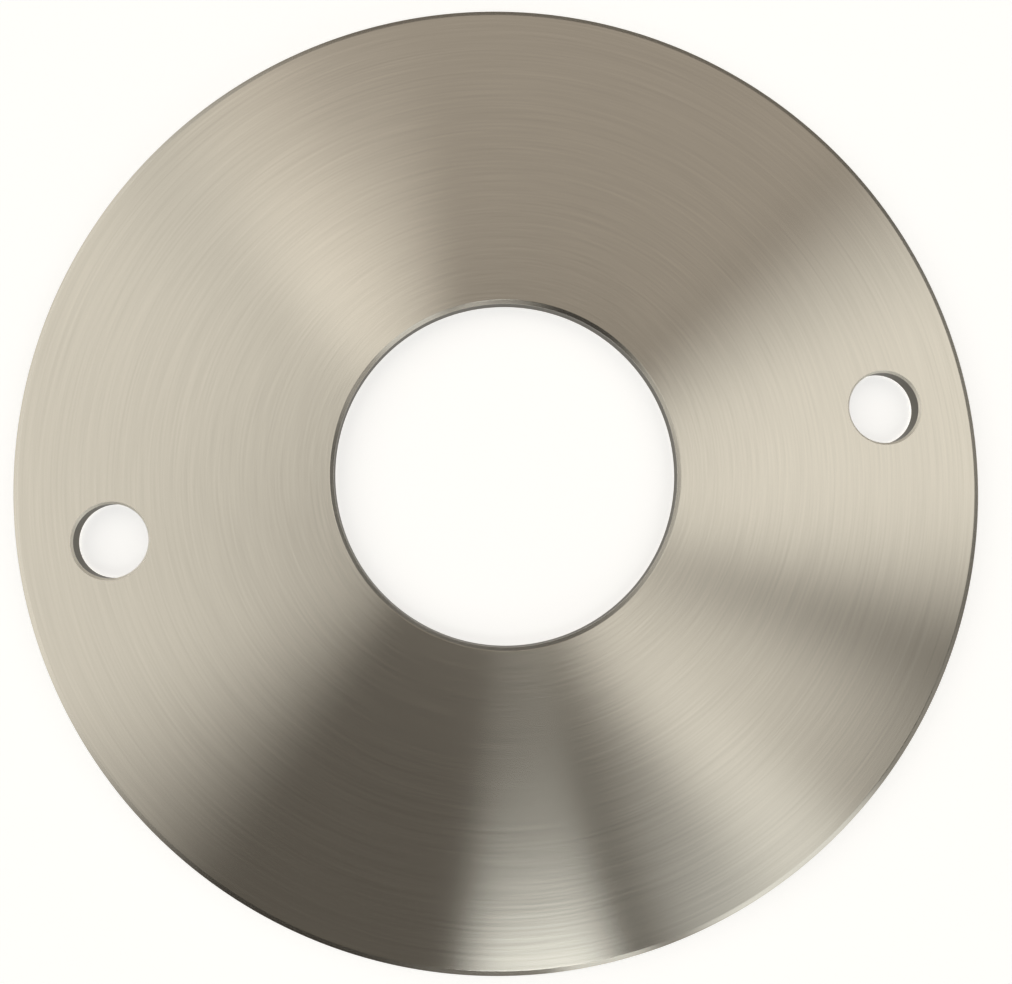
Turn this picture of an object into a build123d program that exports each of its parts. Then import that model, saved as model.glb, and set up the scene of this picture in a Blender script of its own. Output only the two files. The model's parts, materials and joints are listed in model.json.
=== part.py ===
"""Round cover plate: one turned stainless disc with a central bore and two screw holes near its rim.

The plate lies flat with its back face on Z = 0 and its front face up. The bore runs along Z,
and the screw holes lie on the X axis, one each side of the bore. Lengths are in millimetres.
"""

import os

from build123d import *

# Disc
plate_diameter = 140.0
plate_thickness = 3.0
rim_chamfer_width = 0.75  # a shallow chamfer round the front face, across the face
rim_chamfer_depth = 0.3  # and down the rim
back_chamfer = 0.3  # every edge of the back face is only deburred

# Central bore
bore_diameter = 50.0
bore_chamfer = 0.5

# Screw holes, evenly spaced on a circle about the bore
hole_count = 2
hole_diameter = 10.5
hole_chamfer = 0.3
hole_inset = 13.0  # from the rim in to a hole's centre
hole_circle_diameter = plate_diameter - 2 * hole_inset

with BuildPart() as cover_plate:
    # The blank, faced and chamfered
    with BuildSketch():
        Circle(plate_diameter / 2)
    extrude(amount=plate_thickness)
    front_face = cover_plate.faces().sort_by(Axis.Z).last
    chamfer(front_face.edges(), rim_chamfer_width, rim_chamfer_depth, reference=front_face)

    # The bore
    with BuildSketch():
        Circle(bore_diameter / 2)
    extrude(amount=plate_thickness, mode=Mode.SUBTRACT)
    bore_mouths = cover_plate.edges(Select.LAST).filter_by(GeomType.CIRCLE)
    chamfer(bore_mouths.sort_by(Axis.Z).last, bore_chamfer)

    # The screw holes
    with BuildSketch():
        with PolarLocations(hole_circle_diameter / 2, hole_count):
            Circle(hole_diameter / 2)
    extrude(amount=plate_thickness, mode=Mode.SUBTRACT)
    hole_mouths = cover_plate.edges(Select.LAST).filter_by(GeomType.CIRCLE)
    chamfer(hole_mouths.group_by(Axis.Z)[-1], hole_chamfer)

    # The back's edges: rim, bore and screw holes
    back_edges = cover_plate.faces().sort_by(Axis.Z).first.edges()
    chamfer(back_edges, back_chamfer)

cover_plate.part.label = "cover_plate"

os.makedirs("parts", exist_ok=True)
export_step(cover_plate.part, "parts/cover_plate.step")
print("cover_plate volume", round(cover_plate.part.volume, 1), "mm3")
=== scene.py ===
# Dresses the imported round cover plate: a finely faced steel disc lying on a pale studio floor.
import json
import math

import bpy
import numpy as np
from mathutils import Euler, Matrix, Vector


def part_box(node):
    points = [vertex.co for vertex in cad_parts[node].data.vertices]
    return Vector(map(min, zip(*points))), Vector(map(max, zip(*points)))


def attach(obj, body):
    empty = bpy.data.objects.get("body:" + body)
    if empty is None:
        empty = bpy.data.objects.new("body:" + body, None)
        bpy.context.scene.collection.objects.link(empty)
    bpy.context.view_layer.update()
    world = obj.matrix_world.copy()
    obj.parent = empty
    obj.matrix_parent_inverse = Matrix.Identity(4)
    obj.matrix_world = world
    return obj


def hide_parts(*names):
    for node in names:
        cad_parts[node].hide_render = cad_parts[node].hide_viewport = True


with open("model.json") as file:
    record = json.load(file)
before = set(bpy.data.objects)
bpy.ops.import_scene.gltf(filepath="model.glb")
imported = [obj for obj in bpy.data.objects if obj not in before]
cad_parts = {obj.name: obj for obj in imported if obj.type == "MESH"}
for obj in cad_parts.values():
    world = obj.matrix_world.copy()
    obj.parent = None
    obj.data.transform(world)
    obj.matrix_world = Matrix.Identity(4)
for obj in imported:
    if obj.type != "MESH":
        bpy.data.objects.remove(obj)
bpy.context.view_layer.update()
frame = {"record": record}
mm = 0.001

# Sizes read from the frame: the node's box and the record's mounts.
lowCorner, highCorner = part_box("cover_plate")
mounts = {mount["name"]: mount["dims"] for mount in frame["record"]["mounts"]}
rimRadius = highCorner.x
thickness = highCorner.z - lowCorner.z
boreRadius = mounts["central_bore"]["r_mm"] * mm
holeRadius = mounts["screw_holes"]["hole_r_mm"] * mm
holeOffset = mounts["screw_holes"]["pcd_mm"] / 2 * mm
print("frame loaded: the plate is", round(rimRadius * 2 / mm, 2), "mm across")

# The plate's edges, in millimetres. The chamfers are the CAD part's own.
plateEdges = {
    "rimChamferWidth": 0.75,
    "rimChamferDepth": 0.3,
    "boreChamfer": 0.5,
    "holeChamfer": 0.3,
    "backChamfer": 0.3,
    "softRim": 0.35,  # radius of the worn corner between the front face and the rim's chamfer
    "softBore": 0.12,  # the same at the bore's mouth
    "softCorner": 0.06,  # every other corner
    "cornerSteps": 4,  # mesh steps round a corner
    "faceStrip": 0.4,  # flat beside each corner
}
# How fine the plate's mesh is.
plateMesh = {
    "turnSteps": 480,  # round the rim and the bore
    "cellSteps": 24,  # along each side of the cell round a screw hole
    "innerRows": 3,
    "outerRows": 2,
    "cellRows": 5,
}


# Rounds the inner corners of a polyline of (r, z) points. Each becomes an arc touching both of its
# sides at radius * tan(turn / 2) from the corner. A side running (dr, dz) has the unit normal
# (-dz, dr) / length, and on an arc the normal turns evenly from one side's to the next one's.
def softProfile(corners, radii, steps):
    corners = np.array(corners, float)
    sides = np.diff(corners, axis=0)
    sides /= np.linalg.norm(sides, axis=1)[:, None]
    sideNormals = np.stack([-sides[:, 1], sides[:, 0]], axis=1)
    points = [corners[:1]]
    normals = [sideNormals[:1]]
    for index, radius in enumerate(radii, start=1):
        before, after = sideNormals[index - 1], sideNormals[index]
        turn = math.atan2(before[0] * after[1] - before[1] * after[0], before @ after)
        reach = radius * math.tan(abs(turn) / 2)
        centre = corners[index] - sides[index - 1] * reach - before * radius
        angles = np.linspace(0, turn, steps + 1)[:, None]
        sideways = np.array([-before[1], before[0]])
        arcNormals = before * np.cos(angles) + sideways * np.sin(angles)
        points.append(centre + radius * arcNormals)
        normals.append(arcNormals)
    points.append(corners[-1:])
    normals.append(sideNormals[-1:])
    return np.concatenate(points), np.concatenate(normals)


# A profile carried round an upright axis: P(u, v) = centre + (r(v) cos u, r(v) sin u, z(v)).
def turnedSurface(points, normals, angles, centre=(0.0, 0.0)):
    cosines, sines = np.cos(angles)[:, None], np.sin(angles)[:, None]
    radii, heights = points[:, 0], points[:, 1] + np.zeros_like(cosines)
    place = np.stack([centre[0] + radii * cosines, centre[1] + radii * sines, heights], axis=2)
    rise = normals[:, 1] + np.zeros_like(cosines)
    facing = np.stack([normals[:, 0] * cosines, normals[:, 0] * sines, rise], axis=2)
    return place, facing


# A flat sheet at height z between two curves a(u) and b(u): P(u, v) = (1 - v) a(u) + v b(u).
def flatSurface(innerCurve, outerCurve, height, rows, faceUp):
    share = np.linspace(0, 1, rows + 1)[None, :, None]
    flat = (1 - share) * innerCurve[:, None] + share * outerCurve[:, None]
    if not faceUp:
        flat = flat[:, ::-1]
    place = np.concatenate([flat, np.full(flat.shape[:2] + (1,), height)], axis=2)
    facing = np.zeros_like(place)
    facing[..., 2] = 1 if faceUp else -1
    return place, facing


# Points at one radius: a(u) = radius (cos u, sin u).
def circle(radius, angles, centre=(0.0, 0.0)):
    return np.stack([centre[0] + radius * np.cos(angles), centre[1] + radius * np.sin(angles)], axis=1)


# Joins grids of points into one closed mesh. Neighbouring grids share their edge points exactly, so
# equal points are merged, and each keeps its surface's own normal.
def joinSurfaces(name, surfaces):
    places, facings, quads = [], [], []
    count = 0
    for place, facing, closed in surfaces:
        columns, rows = place.shape[:2]
        index = count + np.arange(columns * rows).reshape(columns, rows)
        onward = np.roll(index, -1, axis=0) if closed else index[1:]
        index = index if closed else index[:-1]
        corners = [index[:, :-1], index[:, 1:], onward[:, 1:], onward[:, :-1]]
        quads.append(np.stack(corners, axis=2).reshape(-1, 4))
        places.append(place.reshape(-1, 3))
        facings.append(facing.reshape(-1, 3))
        count += columns * rows
    places, facings, quads = np.concatenate(places), np.concatenate(facings), np.concatenate(quads)
    grain = 1e-9  # equal points differ by less than this, in metres
    keys = np.round(places / grain).astype(np.int64)
    _, first, merged = np.unique(keys, axis=0, return_index=True, return_inverse=True)
    places, facings, quads = places[first], facings[first], merged.reshape(-1)[quads]
    mesh = bpy.data.meshes.new(name)
    mesh.from_pydata(places, [], quads.tolist())
    mesh.polygons.foreach_set("use_smooth", np.ones(len(quads), bool))
    mesh.update()
    mesh.normals_split_custom_set_from_vertices(facings)
    return mesh


# The whole plate: walls and chamfers as turned profiles, faces as flat sheets that leave the bore
# and the screw holes open. Front and back are the same sheets at their own heights and edges.
def makePlate(edges, density):
    back = edges["backChamfer"] * mm
    rimWidth, rimDepth = edges["rimChamferWidth"] * mm, edges["rimChamferDepth"] * mm
    strip = edges["faceStrip"] * mm
    soft = edges["softCorner"] * mm
    bottom, top = lowCorner.z, highCorner.z
    turnAngles = np.arange(density["turnSteps"]) * (2 * np.pi / density["turnSteps"])

    # Rim, from the front face out and down to the back.
    frontRim, backRim = rimRadius - rimWidth - strip, rimRadius - back - strip
    rimCorners = [
        (frontRim, top),
        (rimRadius - rimWidth, top),
        (rimRadius, top - rimDepth),
        (rimRadius, bottom + back),
        (rimRadius - back, bottom),
        (backRim, bottom),
    ]
    rimRadii = [edges["softRim"] * mm, soft, soft, soft]
    rimProfile = softProfile(rimCorners, rimRadii, edges["cornerSteps"])

    # A hole's mouth, from the back in, up its wall and out to the front face.
    def mouth(radius, chamfer, softMouth):
        corners = [
            (radius + back + strip, bottom),
            (radius + back, bottom),
            (radius, bottom + back),
            (radius, top - chamfer),
            (radius + chamfer, top),
            (radius + chamfer + strip, top),
        ]
        return softProfile(corners, [soft, soft, soft, softMouth], edges["cornerSteps"])

    boreProfile = mouth(boreRadius, edges["boreChamfer"] * mm, edges["softBore"] * mm)
    holeProfile = mouth(holeRadius, edges["holeChamfer"] * mm, soft)

    surfaces = [
        (*turnedSurface(*rimProfile, turnAngles), True),
        (*turnedSurface(*boreProfile, turnAngles), True),
    ]

    # The square cells round the screw holes, which the ring between them leaves out.
    steps = density["cellSteps"]
    cellReach = holeOffset * math.tan(math.pi * steps / density["turnSteps"])
    cellRadii = np.linspace(holeOffset - cellReach, holeOffset + cellReach, steps + 1)
    halfTurn, halfCell = density["turnSteps"] // 2, steps // 2
    cells = []
    for start in (0, halfTurn):
        across = turnAngles[np.arange(start - halfCell, start + halfCell + 1) % len(turnAngles)]
        centre = (holeOffset * math.cos(turnAngles[start]), 0.0)
        sides = [
            circle(cellRadii[-1], across)[:-1],
            circle(cellRadii, across[-1])[::-1][:-1],
            circle(cellRadii[0], across)[::-1][:-1],
            circle(cellRadii, across[0])[:-1],
        ]
        outline = np.concatenate(sides)
        holeAngles = np.arctan2(outline[:, 1] - centre[1], outline[:, 0] - centre[0])
        cells.append((outline, holeAngles, centre))
        surfaces.append((*turnedSurface(*holeProfile, holeAngles, centre), True))

    for faceUp in (False, True):
        height = top if faceUp else bottom
        end = -1 if faceUp else 0
        faceRim = frontRim if faceUp else backRim
        faceBore, faceHole = boreProfile[0][end, 0], holeProfile[0][end, 0]
        for low, high, rows in (
            (faceBore, cellRadii[0], density["innerRows"]),
            (cellRadii[-1], faceRim, density["outerRows"]),
        ):
            sheet = flatSurface(circle(low, turnAngles), circle(high, turnAngles), height, rows, faceUp)
            surfaces.append((*sheet, True))
        for start in (0, halfTurn):
            span = np.arange(start + halfCell, start + halfTurn - halfCell + 1)
            between = turnAngles[span % len(turnAngles)]
            radii = cellRadii if faceUp else cellRadii[::-1]
            flat = np.stack([radii, np.full(len(radii), height)], axis=1)
            upright = np.tile([0.0, 1.0 if faceUp else -1.0], (len(radii), 1))
            surfaces.append((*turnedSurface(flat, upright, between), False))
        for outline, holeAngles, centre in cells:
            hole = circle(faceHole, holeAngles, centre)
            surfaces.append((*flatSurface(hole, outline, height, density["cellRows"], faceUp), True))

    mesh = joinSurfaces("turned_plate", surfaces)
    plate = bpy.data.objects.new("turned_plate", mesh)
    bpy.context.scene.collection.objects.link(plate)
    return plate


turnedPlate = makePlate(plateEdges, plateMesh)
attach(turnedPlate, "root")
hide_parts("cover_plate")
print("plate made:", len(turnedPlate.data.polygons), "faces")


# Adds a shader node. Inputs are given by name or number, as values or as other nodes' outputs.
def addNode(tree, kind, inputs=(), **settings):
    made = tree.nodes.new("ShaderNode" + kind)
    for name, value in settings.items():
        setattr(made, name, value)
    for name, value in dict(inputs).items():
        if isinstance(value, bpy.types.NodeSocket):
            tree.links.new(value, made.inputs[name])
        else:
            made.inputs[name].default_value = value
    return made


def calc(tree, operation, *values):
    return addNode(tree, "Math", enumerate(values), operation=operation).outputs[0]


def vectorCalc(tree, operation, *values):
    made = addNode(tree, "VectorMath", enumerate(values), operation=operation)
    return made.outputs["Value" if operation in ("LENGTH", "DOT_PRODUCT") else "Vector"]


# Reads a value from low..high onto start..end, held at both ends.
def remap(tree, value, low, high, start, end, smooth=False):
    kind = "SMOOTHSTEP" if smooth else "LINEAR"
    inputs = {"Value": value, "From Min": low, "From Max": high, "To Min": start, "To Max": end}
    return addNode(tree, "MapRange", inputs, interpolation_type=kind).outputs["Result"]


# Steel finishes. "across" and "along" are how far the surface scatters light across and along its
# turning marks, at most ten to one. Depths are in micrometres, and sizes in millimetres.
turnedFinish = {
    "colour": (0.66, 0.63, 0.57),
    "across": 0.06,
    "along": 0.008,
    "lineWidth": 0.4,  # the coarser turning lines, which show from a step away
    "lineDepth": 1.8,
    "lineArc": 3.0,  # higher gives shorter arcs
    "feedWidth": 0.22,  # the tool's finer feed marks
    "feedDepth": 0.3,
    "feedArc": 5.1,
    "feedStart": 7.3,  # keeps the feed marks apart from the lines in the noise
    "lineTint": 0.09,  # how far the lines lighten and darken the colour
    "cloudTint": 0.04,  # the same for the soft clouds
    "cloudScale": 38.0,  # clouds in a metre
    "roughChange": 0.01,  # how far lines and clouds change the roughness
    "seed": 0.0,
}
edgeFinish = {**turnedFinish, "across": 0.08, "along": 0.015, "lineDepth": 0.4, "lineWidth": 0.3}
# The walls of the bore and of the screw holes are dark: their colour is painted shade in these recesses,
# not the steel's own.
paintedShadeWallFinish = {**edgeFinish, "colour": (0.15, 0.14, 0.12), "across": 0.3, "along": 0.06, "upright": True}
anisotropyLimit = 0.9  # Blender's: an anisotropic value of 1 takes this share off the scatter along
steelFinishes = {
    "faced_front": turnedFinish,
    "faced_back": {**turnedFinish, "across": 0.12, "along": 0.02, "seed": 40.0},
    "turned_edge": {**edgeFinish, "seed": 80.0},
    "turned_rim": {**edgeFinish, "across": 0.15, "upright": True, "seed": 120.0},
    "drilled_edge": {
        **edgeFinish,
        # The screw holes' chamfers are burr-polished and rough; their light colour is a painted highlight
        # ring round each hole.
        "colour": (0.94, 0.91, 0.84),
        "across": 0.5,
        "along": 0.3,
        "hole": True,
        "seed": 160.0,
    },
    "drilled_wall": {**paintedShadeWallFinish, "hole": True, "seed": 200.0},
    "bored_wall": {**paintedShadeWallFinish, "seed": 240.0},
}


# Steel cut on a lathe. The marks are noise read at (ring / width, arc cos a, arc sin a), where a is
# the angle round the cut's axis and ring is the distance from it on a face, or the height on a wall.
def turnedSteel(name, finish):
    material = bpy.data.materials.new(name)
    material.use_nodes = True
    tree = material.node_tree
    tree.nodes.clear()
    place = addNode(tree, "TexCoord").outputs["Object"]
    if finish.get("hole"):  # measured from the nearer screw hole's own axis
        parts = addNode(tree, "SeparateXYZ", {0: place})
        side = calc(tree, "SIGN", parts.outputs["X"])
        holeCentre = addNode(tree, "CombineXYZ", {"X": calc(tree, "MULTIPLY", side, holeOffset)})
        place = vectorCalc(tree, "SUBTRACT", place, holeCentre.outputs[0])
    flat = vectorCalc(tree, "MULTIPLY", place, (1.0, 1.0, 0.0))
    outward = vectorCalc(tree, "NORMALIZE", flat)
    angle = addNode(tree, "SeparateXYZ", {0: outward})
    grain = outward
    ring = vectorCalc(tree, "LENGTH", flat)
    if finish.get("upright"):
        grain = addNode(tree, "CombineXYZ", {"Z": 1.0}).outputs[0]
        ring = addNode(tree, "SeparateXYZ", {0: place}).outputs["Z"]
    ringMm = calc(tree, "MULTIPLY", ring, 1 / mm)

    def marks(width, arc, offset):
        across = calc(tree, "MULTIPLY_ADD", ringMm, 1 / width, offset + finish["seed"])
        sideX = calc(tree, "MULTIPLY", angle.outputs["X"], arc)
        sideY = calc(tree, "MULTIPLY", angle.outputs["Y"], arc)
        where = addNode(tree, "CombineXYZ", {"X": across, "Y": sideX, "Z": sideY}).outputs[0]
        noise = addNode(tree, "TexNoise", {"Vector": where, "Scale": 1.0, "Detail": 0.0})
        return calc(tree, "SUBTRACT", noise.outputs["Fac"], 0.5)

    lines = marks(finish["lineWidth"], finish["lineArc"], 0.0)
    feed = marks(finish["feedWidth"], finish["feedArc"], finish["feedStart"])
    cloudInputs = {"Vector": place, "Scale": finish["cloudScale"], "Detail": 2.0}
    cloudNoise = addNode(tree, "TexNoise", cloudInputs)
    cloud = calc(tree, "SUBTRACT", cloudNoise.outputs["Fac"], 0.5)

    depth = calc(tree, "MULTIPLY", lines, finish["lineDepth"])
    depth = calc(tree, "MULTIPLY_ADD", feed, finish["feedDepth"], depth)
    bump = addNode(tree, "Bump", {"Height": depth, "Strength": 1.0, "Distance": 1e-6})

    shade = calc(tree, "MULTIPLY_ADD", lines, finish["lineTint"], 1.0)
    shade = calc(tree, "MULTIPLY_ADD", feed, finish["lineTint"], shade)
    shade = calc(tree, "MULTIPLY_ADD", cloud, finish["cloudTint"], shade)
    colour = addNode(tree, "VectorMath", {0: finish["colour"], "Scale": shade}, operation="SCALE")
    spread = math.sqrt(math.sqrt(finish["across"] * finish["along"]))
    rough = calc(tree, "MULTIPLY_ADD", lines, finish["roughChange"], spread)
    rough = calc(tree, "MULTIPLY_ADD", cloud, finish["roughChange"], rough)
    steel = addNode(tree, "BsdfPrincipled", {
        "Base Color": colour.outputs["Vector"],
        "Metallic": 1.0,
        "Roughness": rough,
        "Anisotropic": (1 - finish["along"] / finish["across"]) / anisotropyLimit,
        "Normal": bump.outputs[0],
        "Tangent": grain,
    })
    addNode(tree, "OutputMaterial", {"Surface": steel.outputs[0]})
    return material


# Each face of the mesh gets its finish from which way it looks and which mouth it belongs to.
def dressPlate(plate):
    mesh = plate.data
    for name, finish in steelFinishes.items():
        mesh.materials.append(turnedSteel(name, finish))
    slots = {name: index for index, name in enumerate(steelFinishes)}
    count = len(mesh.polygons)
    normals, centres = np.empty(count * 3), np.empty(count * 3)
    mesh.polygons.foreach_get("normal", normals)
    mesh.polygons.foreach_get("center", centres)
    lean = normals.reshape(-1, 3)[:, 2]
    x, y, _ = centres.reshape(-1, 3).T
    corner = plateEdges["softCorner"] * mm
    nearHole = np.hypot(abs(x) - holeOffset, y) < holeRadius + plateEdges["holeChamfer"] * mm + corner
    nearBore = np.hypot(x, y) < boreRadius + corner
    flatLean, wallLean = 0.999, 0.02  # a flat face leans more than the first, a wall less than the second
    edge = abs(lean) > wallLean
    regions = {
        "faced_front": lean > flatLean,
        "faced_back": lean < -flatLean,
        "drilled_edge": edge & nearHole,
        "turned_edge": edge,
        "drilled_wall": nearHole,
        "bored_wall": nearBore,
    }
    choice = np.select(list(regions.values()), [slots[name] for name in regions], slots["turned_rim"])
    mesh.polygons.foreach_set("material_index", choice.astype(np.int32))


dressPlate(turnedPlate)
print("steel finishes made:", len(turnedPlate.data.materials))

# Floor and surroundings.
studio = {
    "floorColour": (0.75, 0.75, 0.75),
    "floorGlow": 0.57,  # what the floor adds to its own light, so that it looks white
    "floorRadius": 4.0,  # metres
    "floorSteps": 64,
    "floorGap": 0.01,  # millimetres below the plate
    "glowStart": 0.15,  # metres from the plate's axis at which the glow starts to fade
    "glowEnd": 1.2,
    "farGlow": 0.05,
    "room": (0.13, 0.119, 0.104),  # the dim light of the room's ceiling
    "wallShare": 0.25,  # how much of it the walls keep, up to "wallTop" degrees above the horizon
    "wallTop": 20.0,
    "ceilingStart": 50.0,
}


# A flat disc: P(u, v) = (v cos u, v sin u, 0).
def makeFloor():
    angles = np.linspace(0, 2 * np.pi, studio["floorSteps"], endpoint=False)
    rim = circle(studio["floorRadius"], angles)
    corners = np.column_stack([rim, np.full(len(rim), lowCorner.z - studio["floorGap"] * mm)])
    mesh = bpy.data.meshes.new("studio_floor")
    mesh.from_pydata(corners, [], [list(range(len(rim)))])
    material = bpy.data.materials.new("pale_floor")
    material.use_nodes = True
    tree = material.node_tree
    tree.nodes.clear()
    paint = addNode(tree, "BsdfDiffuse", {"Color": (*studio["floorColour"], 1.0)})
    path = addNode(tree, "LightPath")
    seen = calc(tree, "MAXIMUM", path.outputs["Is Camera Ray"], path.outputs["Is Glossy Ray"])
    seen = calc(tree, "MAXIMUM", seen, path.outputs["Is Transmission Ray"])
    place = addNode(tree, "TexCoord").outputs["Object"]
    distance = vectorCalc(tree, "LENGTH", place)
    start, end = studio["glowStart"], studio["glowEnd"]
    glow = remap(tree, distance, start, end, studio["floorGlow"], studio["farGlow"], smooth=True)
    strength = calc(tree, "MULTIPLY", seen, glow)
    light = addNode(tree, "Emission", {"Color": (1, 1, 1, 1), "Strength": strength})
    both = addNode(tree, "AddShader", {0: paint.outputs[0], 1: light.outputs[0]})
    addNode(tree, "OutputMaterial", {"Surface": both.outputs[0]})
    mesh.materials.append(material)
    floor = bpy.data.objects.new("studio_floor", mesh)
    bpy.context.scene.collection.objects.link(floor)


daylight = (0.97, 1.0, 0.975)
lampLight = (1.03, 1.0, 0.92)
roomLight = (1.12, 1.0, 0.86)
# The room's soft lights, as the plate sees them: the middle of each round the horizon from +X, how
# far it reaches to each side and how wide its edges fade, then the same for its height above the
# horizon, all in degrees, and last its brightness and colour.
softLights = {
    "west_wall": (160, 45, 45, 50, 35, 30, 0.8, lampLight),
    "west_window": (160, 40, 30, 25, 10, 15, 0.4, lampLight),
    "north_skylight": (100, 10, 20, 80, 10, 15, 0.7, lampLight),
    "north_wall": (70, 40, 20, 50, 30, 15, 0.3, roomLight),
    "east_wall": (5, 15, 30, 60, 35, 10, 0.9, lampLight),
    "south_lamp": (270, 5, 15, 60, 5, 5, 4.0, daylight),
    "south_glint": (275, 5, 5, 30, 5, 5, 2.0, daylight),
    "southeast_window": (300, 10, 15, 40, 25, 25, 1.0, daylight),
    "southeast_ceiling": (320, 10, 25, 75, 10, 10, 0.8, lampLight),
    "south_floor": (295, 40, 25, 10, 15, 20, 0.4, lampLight),
}


# The surroundings: a dim room with soft lights. Each is brightness * fade(turn) * fade(rise), where
# turn and rise are the angles from its middle, and fade eases from 1 to 0 across its edge. For the
# turn, the angles' cosines stand in for the angles themselves.
def makeWorld():
    world = bpy.data.worlds.new("studio")
    bpy.context.scene.world = world
    world.use_nodes = True
    tree = world.node_tree
    tree.nodes.clear()
    towards = addNode(tree, "TexCoord").outputs["Generated"]
    level = vectorCalc(tree, "NORMALIZE", vectorCalc(tree, "MULTIPLY", towards, (1.0, 1.0, 0.0)))
    up = addNode(tree, "SeparateXYZ", {0: towards}).outputs["Z"]
    rise = calc(tree, "DEGREES", calc(tree, "ARCSINE", up))
    dim = remap(tree, rise, studio["wallTop"], studio["ceilingStart"], studio["wallShare"], 1.0)
    glow = addNode(tree, "VectorMath", {0: studio["room"], "Scale": dim}, operation="SCALE").outputs[0]
    for around, reach, edge, height, heightReach, heightEdge, brightness, tint in softLights.values():
        middle = math.radians(around)
        facing = vectorCalc(tree, "DOT_PRODUCT", level, (math.cos(middle), math.sin(middle), 0.0))
        inner, outer = (math.cos(math.radians(reach + side * edge / 2)) for side in (-1, 1))
        share = remap(tree, facing, outer, inner, 0.0, brightness, smooth=True)
        above = calc(tree, "ABSOLUTE", calc(tree, "SUBTRACT", rise, height))
        inner, outer = (heightReach + side * heightEdge / 2 for side in (-1, 1))
        above = remap(tree, above, inner, outer, 1.0, 0.0, smooth=True)
        share = calc(tree, "MULTIPLY", share, above)
        glow = vectorCalc(tree, "MULTIPLY_ADD", share, tint, glow)
    background = addNode(tree, "Background", {"Color": glow})
    addNode(tree, "OutputWorld", {"Surface": background.outputs[0]})


makeFloor()
makeWorld()
print("studio made with", len(softLights), "soft lights")

# The camera, near enough straight above the plate. Millimetres and degrees.
cameraView = {
    "place": (-8.72, -8.55, 147.34),
    "tilt": (5.223, -2.761, -9.969),
    "lens": 35.573,
    "sensor": 36.0,
    "nearest": 5.0,
    "shift": (0.0, -0.0415),
}


def makeCamera():
    lens = bpy.data.cameras.new("camera")
    lens.lens = cameraView["lens"]
    lens.sensor_width = cameraView["sensor"]
    lens.shift_x, lens.shift_y = cameraView["shift"]
    lens.clip_start = cameraView["nearest"] * mm
    camera = bpy.data.objects.new("camera", lens)
    camera.location = Vector(cameraView["place"]) * mm
    camera.rotation_euler = Euler([math.radians(angle) for angle in cameraView["tilt"]], "XYZ")
    bpy.context.scene.collection.objects.link(camera)
    bpy.context.scene.camera = camera


makeCamera()
bpy.context.scene.view_settings.view_transform = "Standard"
